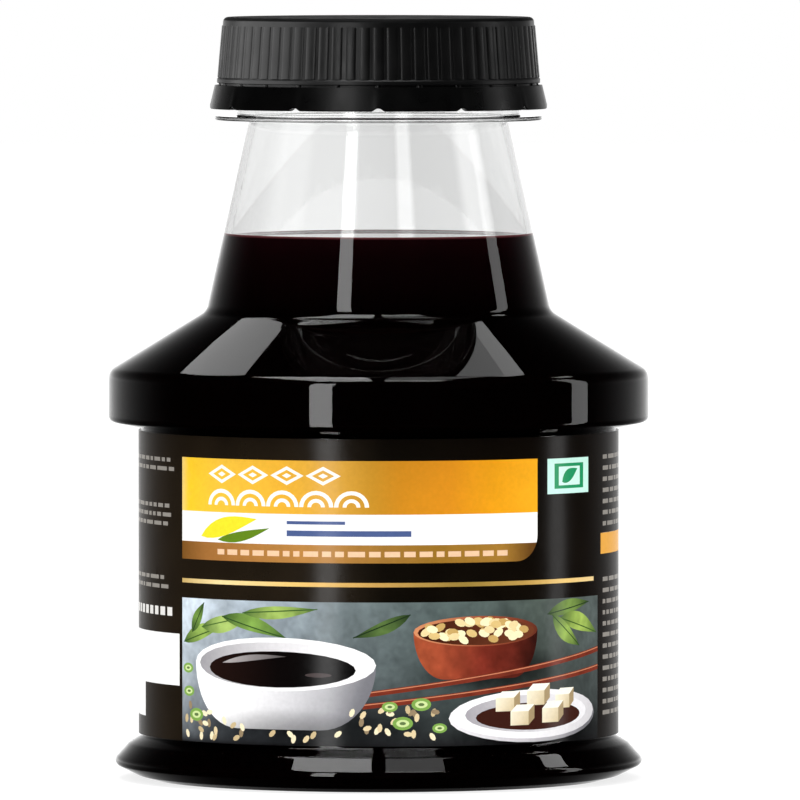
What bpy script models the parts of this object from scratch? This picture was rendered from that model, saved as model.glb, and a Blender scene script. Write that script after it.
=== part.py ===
"""A squat clear plastic bottle of soy sauce: ribbed screw cap with its tamper band, wrap label, dark filling.

The bottle stands on Z = 0 with its axis on Z, and the front of its label faces -Y. Sizes are in
millimetres here and in metres in the model.
"""

import math

import bmesh
import bpy

MM = 0.001

# How finely round things are cut
SIDES = 60
ARC_STEP_DEG = 40.0

# Bottle body, outside
CONTACT_R = 31.8
CONTACT_FLAT = 2.4
PUSH_UP = 2.6
PUSH_UP_SLOPE = 9.0
PUSH_UP_ROUND = 12.0
FOOT_EDGE_R = 33.9
FOOT_EDGE_Z = 0.6
FOOT_EDGE_ROUND = 2.0
FOOT_CORNER_R = 37.9
FOOT_CORNER_Z = 2.75
FOOT_ROUND = 1.3
WAIST_R = 33.15
WAIST_LOW_Z = 6.1
WAIST_HIGH_Z = 49.1
WAIST_ROUND = 0.5
RING_R = 37.8
RING_LOW_Z = 50.1
RING_LOW_ROUND = 0.9
RING_HIGH_Z = 57.0
RING_HIGH_ROUND = 1.2
NECK_ROOT_R = 24.1
NECK_ROOT_Z = 65.4
NECK_ROOT_ROUND = 1.4
NECK_TOP_R = 18.2
NECK_TOP_Z = 91.9
WALL = 0.8

# Neck finish, which the cap screws on
COLLAR_R = 23.2
COLLAR_RISE = 0.2
COLLAR_THICK = 1.2
COLLAR_ROUND = 0.3
FINISH_R = 19.8
FINISH_BORE_R = 17.3
FINISH_TOP_Z = 104.8
FINISH_ROUND = 0.4

# Contents
SAUCE_LEVEL_Z = 76.2
TOUCH_GAP = 0.3

# Wrap label
LABEL_THICK = 0.3
LABEL_MARGIN = 0.3

# Screw cap and tamper band
CAP_TOP_Z = 106.5
CAP_TOP_R = 21.8
CAP_SKIRT_R = 22.6
CAP_SKIRT_LOW_Z = 97.3
CAP_TOP_THICK = 1.4
CAP_BORE_R = 20.6
CAP_EDGE_R = 0.7
RIB_COUNT = 72
RIB_DEPTH = 0.35
RIB_HIGH_Z = 105.3
RIB_LOW_Z = 98.1
RIB_STEP = 0.1
RIM_BEAD_RISE = 0.15
SLIT_HEIGHT = 0.45
SLIT_DEPTH = 0.8
BAND_TOP_R = 22.9
BAND_LOW_R = 23.6
BAND_THICK = 1.2
BAND_LEDGE = 0.7
BAND_LEDGE_RISE = 0.5
BAND_LOW_Z = 93.7
NOTCH_COUNT = 12
NOTCH_HEIGHT = 0.45

# Colours, straight from the real materials
CLEAR_PLASTIC = (0.86, 0.88, 0.88)
SAUCE_COLOUR = (0.012, 0.005, 0.004)
LABEL_COLOUR = (0.018, 0.014, 0.012)
CAP_COLOUR = (0.016, 0.016, 0.017)


def clear_scene():
    """Empties the scene of whatever it starts with."""
    for leftover in list(bpy.data.objects):
        bpy.data.objects.remove(leftover)


def finish_of(name, colour, roughness, metallic=0.0, transmission=0.0):
    """A Principled material in the part's own colour."""
    material = bpy.data.materials.new(name)
    material.use_nodes = True
    shader = material.node_tree.nodes["Principled BSDF"]
    shader.inputs["Base Color"].default_value = (*colour, 1.0)
    shader.inputs["Roughness"].default_value = roughness
    shader.inputs["Metallic"].default_value = metallic
    shader.inputs["Transmission Weight"].default_value = transmission
    return material


def rounded(corners):
    """Points (r, z) along a run of corners (r, z, fillet radius), each fillet an arc."""
    points = []
    for i, (r, z, fillet) in enumerate(corners):
        if fillet <= 0 or i in (0, len(corners) - 1):
            points.append((r, z))
            continue
        to_last = direction(corners[i], corners[i - 1])
        to_next = direction(corners[i], corners[i + 1])
        half_corner = math.acos(max(-1.0, min(1.0, dot(to_last, to_next)))) / 2
        reach = fillet / math.tan(half_corner)
        bisector = normal(to_last[0] + to_next[0], to_last[1] + to_next[1])
        centre = [(r, z)[k] + bisector[k] * fillet / math.sin(half_corner) for k in (0, 1)]
        start = (r + to_last[0] * reach - centre[0], z + to_last[1] * reach - centre[1])
        end = (r + to_next[0] * reach - centre[0], z + to_next[1] * reach - centre[1])
        turn = math.atan2(start[0] * end[1] - start[1] * end[0], dot(start, end))
        steps = max(1, round(abs(math.degrees(turn)) / ARC_STEP_DEG))
        for k in range(steps + 1):
            c, s = math.cos(turn * k / steps), math.sin(turn * k / steps)
            points.append((centre[0] + start[0] * c - start[1] * s, centre[1] + start[0] * s + start[1] * c))
    return points


def normal(x, y):
    length = math.hypot(x, y)
    return (x / length, y / length)


def direction(a, b):
    return normal(b[0] - a[0], b[1] - a[1])


def dot(a, b):
    return a[0] * b[0] + a[1] * b[1]


def inset(corners, depth):
    """The same run of corners, moved inwards (left of its way up the outside) by depth."""
    lines = []
    for a, b in zip(corners, corners[1:]):
        along = direction(a, b)
        left = (-along[1], along[0])
        lines.append(((a[0] + left[0] * depth, a[1] + left[1] * depth), along))
    moved = [(corners[0][0], lines[0][0][1], 0)]
    for i in range(1, len(corners) - 1):
        (p, u), (q, v) = lines[i - 1], lines[i]
        cross = u[0] * v[1] - u[1] * v[0]
        share = ((q[0] - p[0]) * v[1] - (q[1] - p[1]) * v[0]) / cross
        fillet = corners[i][2] + (depth if cross < 0 else -depth)
        moved.append((p[0] + u[0] * share, p[1] + u[1] * share, max(fillet, 0)))
    last, along = lines[-1]
    length = math.hypot(corners[-1][0] - corners[-2][0], corners[-1][1] - corners[-2][1])
    moved.append((last[0] + along[0] * length, last[1] + along[1] * length, 0))
    return moved


def cut_at_height(corners, z):
    """The run of corners from its start up to height z, in its last, rising stretch."""
    kept = [c for c in corners if c[1] < z]
    low, high = kept[-1], corners[len(kept)]
    share = (z - low[1]) / (high[1] - low[1])
    return kept + [(low[0] + (high[0] - low[0]) * share, z, 0)]


def new_object(name, mesh_builder, material, smooth_deg=35.0):
    """Writes a bmesh, whose sizes are in millimetres, as an object in metres."""
    bmesh.ops.recalc_face_normals(mesh_builder, faces=mesh_builder.faces)
    bmesh.ops.scale(mesh_builder, vec=(MM, MM, MM), verts=mesh_builder.verts)
    mesh = bpy.data.meshes.new(name)
    mesh_builder.to_mesh(mesh)
    mesh_builder.free()
    mesh.materials.append(material)
    mesh.shade_smooth()
    mesh.set_sharp_from_angle(angle=math.radians(smooth_deg))
    made = bpy.data.objects.new(name, mesh)
    bpy.context.scene.collection.objects.link(made)
    return made


def turned(outline, sides, is_loop=False):
    """A bmesh turned about Z from points (r, z); a loop never meets the axis."""
    builder = bmesh.new()
    profile = [builder.verts.new((r, 0.0, z)) for r, z in outline]
    pairs = list(zip(profile, profile[1:]))
    if is_loop:
        pairs.append((profile[-1], profile[0]))
    edges = [builder.edges.new(pair) for pair in pairs]
    bmesh.ops.spin(
        builder,
        geom=profile + edges,
        cent=(0, 0, 0),
        axis=(0, 0, 1),
        angle=math.tau,
        steps=sides,
        use_merge=True,
    )
    bmesh.ops.remove_doubles(builder, verts=builder.verts, dist=0.0005)
    return builder


def body_corners():
    """The bottle's outside as corners (r, z, fillet), from the middle of its base up to the collar."""
    return [
        (0, PUSH_UP, 0),
        (CONTACT_R - CONTACT_FLAT - PUSH_UP_SLOPE, PUSH_UP, PUSH_UP_ROUND),
        (CONTACT_R - CONTACT_FLAT, 0, 0),
        (CONTACT_R, 0, 0),
        (FOOT_EDGE_R, FOOT_EDGE_Z, FOOT_EDGE_ROUND),
        (FOOT_CORNER_R, FOOT_CORNER_Z, FOOT_ROUND),
        (WAIST_R, WAIST_LOW_Z, WAIST_ROUND),
        (WAIST_R, WAIST_HIGH_Z, WAIST_ROUND),
        (RING_R, RING_LOW_Z, RING_LOW_ROUND),
        (RING_R, RING_HIGH_Z, RING_HIGH_ROUND),
        (NECK_ROOT_R, NECK_ROOT_Z, NECK_ROOT_ROUND),
        (NECK_TOP_R, NECK_TOP_Z, 0),
    ]


def make_bottle(material):
    """The clear shell: body, collar and neck finish, open at its mouth."""
    collar_low = NECK_TOP_Z + COLLAR_RISE
    collar_top = collar_low + COLLAR_THICK
    outside = rounded(body_corners())
    finish = rounded(
        [
            (NECK_TOP_R, NECK_TOP_Z, 0),
            (COLLAR_R, collar_low, COLLAR_ROUND),
            (COLLAR_R, collar_top, COLLAR_ROUND),
            (FINISH_R, collar_top, COLLAR_ROUND),
            (FINISH_R, FINISH_TOP_Z, FINISH_ROUND),
            (FINISH_BORE_R, FINISH_TOP_Z, FINISH_ROUND),
            (FINISH_BORE_R, NECK_TOP_Z, 0),
        ]
    )
    inside = list(reversed(rounded(inset(body_corners(), WALL))))
    builder = turned(outside + finish[1:] + inside[1:], SIDES)
    return new_object("bottle", builder, material)


def make_sauce(material):
    """The filling, flat on top at its level and a touch clear of the wall."""
    sides = cut_at_height(inset(body_corners(), WALL + TOUCH_GAP), SAUCE_LEVEL_Z)
    builder = turned(rounded(sides) + [(0, SAUCE_LEVEL_Z)], SIDES)
    return new_object("soy_sauce", builder, material)


def make_label(material):
    """The printed film, wrapped once round the waist."""
    inner = WAIST_R + TOUCH_GAP
    outer = inner + LABEL_THICK
    low = WAIST_LOW_Z + LABEL_MARGIN
    high = WAIST_HIGH_Z - LABEL_MARGIN
    builder = turned([(outer, low), (outer, high), (inner, high), (inner, low)], SIDES, is_loop=True)
    return new_object("label", builder, material)


def circle(builder, radius_at, height_at, count):
    """A ring of points whose radius and height may change with the angle."""
    ring = []
    for k in range(count):
        angle = math.tau * k / count
        r = radius_at(k)
        ring.append(builder.verts.new((r * math.cos(angle), r * math.sin(angle), height_at(k))))
    return ring


def join_rings(builder, first, second):
    """Quads between two rings of equal count, or flat fans where one has a whole multiple of the other."""
    coarse, fine = sorted((first, second), key=len)
    share = len(fine) // len(coarse)
    for k in range(len(coarse)):
        outer = [fine[(k * share + j) % len(fine)] for j in range(share + 1)]
        builder.faces.new(outer + [coarse[(k + 1) % len(coarse)], coarse[k]])


def skirt_radius(z):
    """The cap's plain outer radius at height z: it widens a little towards its rim."""
    share = (CAP_TOP_Z - z) / (CAP_TOP_Z - CAP_SKIRT_LOW_Z)
    return CAP_TOP_R + (CAP_SKIRT_R - CAP_TOP_R) * share


def make_cap(material):
    """The screw cap with its ribs, and the tamper band moulded on below a slit."""
    builder = bmesh.new()
    corners_per_rib = 4
    crest = {1, 2}

    def plain(r, z):
        return circle(builder, lambda k: r, lambda k: z, RIB_COUNT)

    def ribbed(z):
        groove = skirt_radius(z) - RIB_DEPTH

        def radius(k):
            return groove + (RIB_DEPTH if k % corners_per_rib in crest else 0.0)

        return circle(builder, radius, lambda k: z, RIB_COUNT * corners_per_rib)

    def band_rim(r):
        every = RIB_COUNT // NOTCH_COUNT

        def height(k):
            return BAND_LOW_Z + (NOTCH_HEIGHT if k % every == 0 else 0.0)

        return circle(builder, lambda k: r, height, RIB_COUNT)

    edge = rounded(
        [
            (0, CAP_TOP_Z, 0),
            (CAP_TOP_R - RIB_DEPTH, CAP_TOP_Z, CAP_EDGE_R),
            (skirt_radius(RIB_HIGH_Z) - RIB_DEPTH - RIB_STEP, RIB_HIGH_Z, 0),
        ]
    )
    slit_top = CAP_SKIRT_LOW_Z
    slit_low = slit_top - SLIT_HEIGHT
    rings = [plain(r, z) for r, z in edge[1:]]
    rings += [ribbed(RIB_HIGH_Z), ribbed(RIB_LOW_Z)]
    rings += [
        plain(skirt_radius(RIB_LOW_Z) - RIB_DEPTH - RIB_STEP, RIB_LOW_Z),
        plain(CAP_SKIRT_R, RIB_LOW_Z - RIM_BEAD_RISE),
        plain(CAP_SKIRT_R, slit_top),
        plain(CAP_SKIRT_R - SLIT_DEPTH, slit_top),
        plain(CAP_SKIRT_R - SLIT_DEPTH, slit_low),
        plain(BAND_TOP_R, slit_low),
        band_rim(BAND_LOW_R),
        band_rim(BAND_LOW_R - BAND_THICK),
        plain(CAP_BORE_R + BAND_LEDGE, slit_low),
        plain(CAP_BORE_R, slit_top + BAND_LEDGE_RISE),
        plain(CAP_BORE_R, CAP_TOP_Z - CAP_TOP_THICK),
    ]
    for first, second in zip(rings, rings[1:]):
        join_rings(builder, first, second)
    builder.faces.new(rings[0])
    builder.faces.new(rings[-1])
    return new_object("screw_cap", builder, material)


clear_scene()
make_bottle(finish_of("clear_plastic", CLEAR_PLASTIC, 0.05, transmission=1.0))
make_sauce(finish_of("sauce", SAUCE_COLOUR, 0.08))
make_label(finish_of("printed_film", LABEL_COLOUR, 0.3))
make_cap(finish_of("cap_plastic", CAP_COLOUR, 0.35))
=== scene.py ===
import math
import random

import bmesh
import bpy
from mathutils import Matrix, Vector, geometry, noise


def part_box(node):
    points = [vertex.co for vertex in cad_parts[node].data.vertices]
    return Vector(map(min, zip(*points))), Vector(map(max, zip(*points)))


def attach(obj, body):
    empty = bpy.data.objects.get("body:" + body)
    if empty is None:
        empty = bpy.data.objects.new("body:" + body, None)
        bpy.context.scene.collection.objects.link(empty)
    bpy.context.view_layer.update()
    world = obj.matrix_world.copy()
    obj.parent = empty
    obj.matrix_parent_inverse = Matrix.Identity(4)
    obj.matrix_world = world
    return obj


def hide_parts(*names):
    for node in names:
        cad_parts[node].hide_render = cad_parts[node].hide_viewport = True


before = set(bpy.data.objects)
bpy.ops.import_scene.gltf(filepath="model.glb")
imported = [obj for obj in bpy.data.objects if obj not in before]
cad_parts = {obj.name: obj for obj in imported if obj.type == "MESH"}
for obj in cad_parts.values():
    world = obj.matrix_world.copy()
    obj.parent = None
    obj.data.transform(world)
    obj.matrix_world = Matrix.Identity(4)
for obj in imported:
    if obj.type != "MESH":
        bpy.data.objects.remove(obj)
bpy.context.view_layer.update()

# A squat clear bottle of soy sauce with a ribbed black cap and a wrap label. Sizes are in millimetres
# and meshes are written in metres. The bottle stands on Z = 0 and the front of its label faces -Y.

# The bottle, blown in one piece from clear plastic: a flared foot on a flat contact ring, a straight
# waist that takes the label, a wide shoulder ring, a cone and a tapering neck. The collar under the
# cap and the plain end above it are moulded first and stay thicker than the blown wall.
MM = 0.001
BOTTLE_SIDES = 192
ARC_STEP_DEG = 6.0
CONTACT_R = 31.8
CONTACT_FLAT = 2.4
PUSH_UP = 2.6
PUSH_UP_SLOPE = 9.0
PUSH_UP_ROUND = 12.0
FOOT_EDGE_R = 33.9
FOOT_EDGE_Z = 0.6
FOOT_EDGE_ROUND = 2.0
FOOT_CORNER_R = 37.4
FOOT_CORNER_Z = 2.35
FOOT_ROUND = 0.85
FOOT_BREAK_R = 35.0
FOOT_BREAK_Z = 5.0
FOOT_BREAK_ROUND = 1.5
WAIST_R = 33.15
WAIST_LOW_Z = 6.1
WAIST_HIGH_Z = 49.1
WAIST_ROUND = 0.5
RING_R = 37.8
RING_LOW_Z = 50.1
RING_LOW_ROUND = 0.9
RING_HIGH_Z = 57.0
RING_HIGH_ROUND = 1.7
NECK_ROOT_R = 24.1
NECK_ROOT_Z = 65.4
NECK_ROOT_ROUND = 2.0
NECK_TOP_R = 18.2
NECK_TOP_Z = 91.9
WALL = 0.8
COLLAR_R = 22.9
COLLAR_RISE = 0.25
COLLAR_THICK = 0.55
COLLAR_ROUND = 0.24
FINISH_R = 19.8
FINISH_BORE_R = 17.3
FINISH_TOP_Z = 104.8
FINISH_ROUND = 0.4
ON_AXIS_R = 0.001
BRACE = 0.2
LONG_RUN = 1.0
TURNED_SHARP_DEG = 35.0
PLASTIC_TINT = (0.996, 1.0, 0.998)
PLASTIC_IOR = 1.57
SEAM_HALF_WIDTH = 0.16
SEAM_RISE = 0.02
BLOWN_WAVE_SIZE = 14.0
BLOWN_WAVE_RISE = 0.012
BLOWN_SCUFF_SIZE = 2.0
SCUFFED_SPAN = (0.5, 0.8)
SCUFF_ROUGHNESS = 0.06
# Painted reflections: light and dim upright streaks in the clear wall's tint, as places across the bottle
# from -1 to 1 and the share of light that passes there
PAINTED_REFLECTION_STREAKS = (
    (-0.93, 0.96), (-0.80, 0.96), (-0.74, 1.0), (-0.55, 1.0), (-0.48, 0.96), (-0.25, 0.96), (-0.21, 1.0),
    (-0.17, 1.0), (-0.14, 0.91), (0.12, 0.89), (0.145, 1.0), (0.22, 1.0), (0.25, 0.87), (0.56, 0.89),
    (0.61, 1.0), (0.71, 1.0), (0.76, 0.87), (0.88, 0.93),
)


def unit(x, y):
    length = math.hypot(x, y)
    return (x / length, y / length)


def heading(a, b):
    return unit(b[0] - a[0], b[1] - a[1])


def between(a, b, share):
    return tuple(p + (q - p) * share for p, q in zip(a, b))


def shifted(point, way, ahead, aside):
    """A point moved ahead along the direction way, and aside to the left of it."""
    return (point[0] + way[0] * ahead - way[1] * aside, point[1] + way[1] * ahead + way[0] * aside)


def rounded(corners):
    """Points (r, z) along a run of corners (r, z, fillet radius), each fillet an arc."""
    points = []
    for i, (r, z, fillet) in enumerate(corners):
        if fillet <= 0 or i in (0, len(corners) - 1):
            points.append((r, z))
            continue
        to_last = heading(corners[i], corners[i - 1])
        to_next = heading(corners[i], corners[i + 1])
        opening = to_last[0] * to_next[0] + to_last[1] * to_next[1]
        half_corner = math.acos(max(-1.0, min(1.0, opening))) / 2
        reach = fillet / math.tan(half_corner)
        bisector = unit(to_last[0] + to_next[0], to_last[1] + to_next[1])
        centre = [(r, z)[k] + bisector[k] * fillet / math.sin(half_corner) for k in (0, 1)]
        start = (r + to_last[0] * reach - centre[0], z + to_last[1] * reach - centre[1])
        end = (r + to_next[0] * reach - centre[0], z + to_next[1] * reach - centre[1])
        turn = math.atan2(start[0] * end[1] - start[1] * end[0], start[0] * end[0] + start[1] * end[1])
        steps = max(1, round(abs(math.degrees(turn)) / ARC_STEP_DEG))
        for k in range(steps + 1):
            part = turn * k / steps
            points.append(shifted(centre, (math.cos(part), math.sin(part)), *start))
    return points


def moved_in(corners, depth):
    """The same run of corners, moved inwards (left of its way up the outside) by depth."""
    lines = []
    for a, b in zip(corners, corners[1:]):
        along = heading(a, b)
        lines.append((shifted(a, along, 0, depth), along))
    moved = [(corners[0][0], lines[0][0][1], 0)]
    for i in range(1, len(corners) - 1):
        (p, u), (q, v) = lines[i - 1], lines[i]
        cross = u[0] * v[1] - u[1] * v[0]
        share = ((q[0] - p[0]) * v[1] - (q[1] - p[1]) * v[0]) / cross
        fillet = corners[i][2] + (depth if cross < 0 else -depth)
        moved.append((*shifted(p, u, share, 0), max(fillet, 0)))
    last, along = lines[-1]
    length = math.dist(corners[-2][:2], corners[-1][:2])
    moved.append((*shifted(last, along, length, 0), 0))
    return moved


def braced(outline):
    """The outline with a point close to each end of its long runs, which keeps their shading flat."""
    points = [outline[0]]
    for a, b in zip(outline, outline[1:]):
        length = math.dist(a, b)
        if length > LONG_RUN:
            points += [between(a, b, share) for share in (BRACE / length, 1 - BRACE / length)]
        points.append(b)
    return points


def turned(outline, sides, is_loop=False, shape=None):
    """A bmesh turned about Z from points (r, z); shape may move a point by its angle from the front."""
    builder = bmesh.new()
    rings = []
    for r, z in braced(outline):
        if r < ON_AXIS_R:
            rings.append([builder.verts.new((0, 0, z))])
            continue
        ring = []
        for k in range(sides):
            angle = math.tau * k / sides
            ring_r, ring_z = shape(r, z, angle) if shape else (r, z)
            ring.append(builder.verts.new((ring_r * math.sin(angle), -ring_r * math.cos(angle), ring_z)))
        rings.append(ring)
    pairs = list(zip(rings, rings[1:]))
    if is_loop:
        pairs.append((rings[-1], rings[0]))
    for low, high in pairs:
        for k in range(sides):
            spots = ((low, k), (low, k + 1), (high, k + 1), (high, k))
            builder.faces.new(dict.fromkeys(ring[i % len(ring)] for ring, i in spots))
    bmesh.ops.recalc_face_normals(builder, faces=builder.faces)
    return builder


def shade(mesh, sharp_deg):
    """Smooth faces, with crisp edges where they meet at more than an angle."""
    mesh.shade_smooth()
    mesh.set_sharp_from_angle(angle=math.radians(sharp_deg))


def new_object(name, data):
    made = bpy.data.objects.new(name, data)
    bpy.context.scene.collection.objects.link(made)
    return made


def new_piece(name, builder, finishes):
    """Writes a bmesh in millimetres as an object in metres, at the origin."""
    bmesh.ops.scale(builder, vec=(MM, MM, MM), verts=builder.verts)
    mesh = bpy.data.meshes.new(name)
    builder.to_mesh(mesh)
    builder.free()
    for finish in finishes:
        mesh.materials.append(finish)
    shade(mesh, TURNED_SHARP_DEG)
    return new_object(name, mesh)


def set_inputs(node, values):
    """Constant values, set on a node's named or numbered inputs."""
    for key, value in dict(values).items():
        node.inputs[key].default_value = value


def new_finish(name, values=()):
    """A material, its node tree and its shader, with the values of the shader's own inputs."""
    material = bpy.data.materials.new(name)
    material.use_nodes = True
    shader = material.node_tree.nodes["Principled BSDF"]
    set_inputs(shader, values)
    return material, material.node_tree, shader


def add_node(tree, kind, values=(), **settings):
    node = tree.nodes.new(kind)
    for key, value in settings.items():
        setattr(node, key, value)
    set_inputs(node, values)
    return node


def maths(tree, operation, values=()):
    return add_node(tree, "ShaderNodeMath", values, operation=operation)


def spread(tree, given, wanted, **settings):
    """A node that turns the span of values given into the span wanted."""
    values = dict(zip(("From Min", "From Max", "To Min", "To Max"), (*given, *wanted)))
    return add_node(tree, "ShaderNodeMapRange", values, **settings)


def new_ramp(tree, first, last, stops):
    """A colour ramp from the first colour to the last, with stops (place, colour) between them."""
    ramp = add_node(tree, "ShaderNodeValToRGB")
    elements = ramp.color_ramp.elements
    elements[0].color, elements[1].color = (*first, 1), (*last, 1)
    for place, colour in stops:
        elements.new(place).color = (*colour, 1)
    return ramp


def wire(tree, *links):
    """Joins nodes by links (source, its output, target, its input)."""
    for source, output, target, entry in links:
        tree.links.new(source.outputs[output], target.inputs[entry])


def new_tree(name, kind, inputs, outputs):
    """A node group with sockets (label, type), and its input and output nodes."""
    tree = bpy.data.node_groups.new(name, kind)
    for way, sockets in (("INPUT", inputs), ("OUTPUT", outputs)):
        for label, socket in sockets:
            tree.interface.new_socket(label, in_out=way, socket_type="NodeSocket" + socket)
    return tree, tree.nodes.new("NodeGroupInput"), tree.nodes.new("NodeGroupOutput")


def uneven_effect():
    """Slow waves and fine scuffs over a surface, as values, by the size of their features in metres."""
    tree, given, result = new_tree(
        "uneven surface", "ShaderNodeTree",
        (("Wave Size", "Float"), ("Scuff Size", "Float")), (("Wave", "Float"), ("Scuff", "Float")),
    )
    place = add_node(tree, "ShaderNodeTexCoord")
    for feature, detail in (("Wave", 1.0), ("Scuff", 5.0)):
        scale = maths(tree, "DIVIDE", {0: 1.0})
        grain = add_node(tree, "ShaderNodeTexNoise", {"Detail": detail})
        wire(
            tree, (given, feature + " Size", scale, 1), (scale, 0, grain, "Scale"),
            (place, "Object", grain, "Vector"), (grain, "Fac", result, feature),
        )
    return tree


UNEVEN = uneven_effect()


def uneven_surface(tree, wave_size, scuff_size):
    sizes = {"Wave Size": wave_size * MM, "Scuff Size": scuff_size * MM}
    return add_node(tree, "ShaderNodeGroup", sizes, node_tree=UNEVEN)


def body_corners():
    """The bottle's outside as corners (r, z, fillet), from the middle of its base up to the collar."""
    return [
        (0, PUSH_UP, 0),
        (CONTACT_R - CONTACT_FLAT - PUSH_UP_SLOPE, PUSH_UP, PUSH_UP_ROUND),
        (CONTACT_R - CONTACT_FLAT, 0, 0),
        (CONTACT_R, 0, 0),
        (FOOT_EDGE_R, FOOT_EDGE_Z, FOOT_EDGE_ROUND),
        (FOOT_CORNER_R, FOOT_CORNER_Z, FOOT_ROUND),
        (FOOT_BREAK_R, FOOT_BREAK_Z, FOOT_BREAK_ROUND),
        (WAIST_R, WAIST_LOW_Z, WAIST_ROUND),
        (WAIST_R, WAIST_HIGH_Z, WAIST_ROUND),
        (RING_R, RING_LOW_Z, RING_LOW_ROUND),
        (RING_R, RING_HIGH_Z, RING_HIGH_ROUND),
        (NECK_ROOT_R, NECK_ROOT_Z, NECK_ROOT_ROUND),
        (NECK_TOP_R, NECK_TOP_Z, 0),
    ]


def clear_plastic():
    """Clear blown plastic: upright streaks of painted reflection in its tint, slow waves in its wall, and
    the fine line of the seam.
    """
    material, tree, shader = new_finish("clear_plastic", {"IOR": PLASTIC_IOR, "Transmission Weight": 1.0})
    place = add_node(tree, "ShaderNodeTexCoord")
    axes = add_node(tree, "ShaderNodeSeparateXYZ")
    level = add_node(tree, "ShaderNodeVectorMath", {1: (1.0, 1.0, 0.0)}, operation="MULTIPLY")
    radius = add_node(tree, "ShaderNodeVectorMath", operation="LENGTH")
    aside = maths(tree, "DIVIDE")
    place_round = spread(tree, (-1.0, 1.0), (0.0, 1.0))
    # Painted reflections: the tint is full in upright bands and dimmer between them
    streaks = new_ramp(tree, PLASTIC_TINT, PLASTIC_TINT, [
        ((share + 1) / 2, [c * grey for c in PLASTIC_TINT]) for share, grey in PAINTED_REFLECTION_STREAKS
    ])
    from_seam = maths(tree, "ABSOLUTE")
    seam_rise = (SEAM_RISE / BLOWN_WAVE_RISE, 0.0)
    ridge = spread(tree, (0.0, SEAM_HALF_WIDTH * MM), seam_rise, interpolation_type="SMOOTHSTEP")
    uneven = uneven_surface(tree, BLOWN_WAVE_SIZE, BLOWN_SCUFF_SIZE)
    height = maths(tree, "ADD")
    bump = add_node(tree, "ShaderNodeBump", {"Distance": BLOWN_WAVE_RISE * MM})
    scuffed = spread(tree, SCUFFED_SPAN, (0.0, SCUFF_ROUGHNESS))
    wire(
        tree, (place, "Object", axes, 0), (place, "Object", level, 0), (level, 0, radius, 0),
        (axes, "X", aside, 0), (radius, "Value", aside, 1), (aside, 0, place_round, "Value"),
        (place_round, 0, streaks, "Fac"), (streaks, "Color", shader, "Base Color"),
        (axes, "Y", from_seam, 0), (from_seam, 0, ridge, "Value"), (ridge, 0, height, 0),
        (uneven, "Wave", height, 1), (height, 0, bump, "Height"), (bump, 0, shader, "Normal"),
        (uneven, "Scuff", scuffed, "Value"), (scuffed, 0, shader, "Roughness"),
    )
    return material


def blow_bottle():
    collar_low = NECK_TOP_Z + COLLAR_RISE
    collar_top = collar_low + COLLAR_THICK
    finish = rounded([
        (NECK_TOP_R, NECK_TOP_Z, 0),
        (COLLAR_R, collar_low, COLLAR_ROUND),
        (COLLAR_R, collar_top, COLLAR_ROUND),
        (FINISH_R, collar_top, COLLAR_ROUND),
        (FINISH_R, FINISH_TOP_Z, FINISH_ROUND),
        (FINISH_BORE_R, FINISH_TOP_Z, FINISH_ROUND),
        (FINISH_BORE_R, NECK_TOP_Z, 0),
    ])
    inside = list(reversed(rounded(moved_in(body_corners(), WALL))))
    outline = rounded(body_corners()) + finish[1:] + inside[1:]
    return new_piece("clear_bottle", turned(outline, BOTTLE_SIDES), [clear_plastic()])


bottle = blow_bottle()
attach(bottle, "root")
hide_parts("bottle")

# The filling, soy sauce up to the neck: near black in depth, maroon where it thins out. It reaches a
# little way into the wall, so no air shows, and creeps up the wall to its level in a meniscus.
INTO_WALL = 0.1
SAUCE_LEVEL_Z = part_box("soy_sauce")[1][2] / MM
MENISCUS_RISE = 0.3
MENISCUS_REACH = 0.7
MENISCUS_WIDTH = 3 * MENISCUS_REACH
MENISCUS_STEPS = 12
SAUCE_DEEP = (0.0012, 0.0004, 0.0004)
SAUCE_THIN = (0.011, 0.0016, 0.0026)
SAUCE_EDGE = (0.30, 0.075, 0.085)
SAUCE_EDGE_DEPTH = 0.35
SAUCE_THIN_DEPTH = 3.0
SAUCE_FADE_DEPTH = 11.0
SAUCE_IOR = 1.38
SURFACE_FACING = 0.3


def sauce_finish(name, specular, roughness):
    """Sauce, coloured by its depth under the level."""
    material, tree, shader = new_finish(name, {
        "Specular IOR Level": specular, "Roughness": roughness, "IOR": SAUCE_IOR,
    })
    place = add_node(tree, "ShaderNodeTexCoord")
    axes = add_node(tree, "ShaderNodeSeparateXYZ")
    fade = (SAUCE_LEVEL_Z * MM, (SAUCE_LEVEL_Z - SAUCE_FADE_DEPTH) * MM)
    depth = spread(tree, fade, (0.0, 1.0))
    ramp = new_ramp(tree, SAUCE_EDGE, SAUCE_DEEP, (
        (SAUCE_EDGE_DEPTH / SAUCE_FADE_DEPTH, SAUCE_THIN),
        (SAUCE_THIN_DEPTH / SAUCE_FADE_DEPTH, between(SAUCE_THIN, SAUCE_DEEP, 0.5)),
    ))
    wire(
        tree, (place, "Object", axes, 0), (axes, "Z", depth, "Value"), (depth, 0, ramp, "Fac"),
        (ramp, "Color", shader, "Base Color"),
    )
    return material


def finish_top(builder, low_z, facing):
    """Gives the second finish to faces above low_z whose normal rises by more than facing."""
    for face in builder.faces:
        is_top = face.normal.z > facing and face.calc_center_median().z > low_z
        face.material_index = int(is_top)


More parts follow.
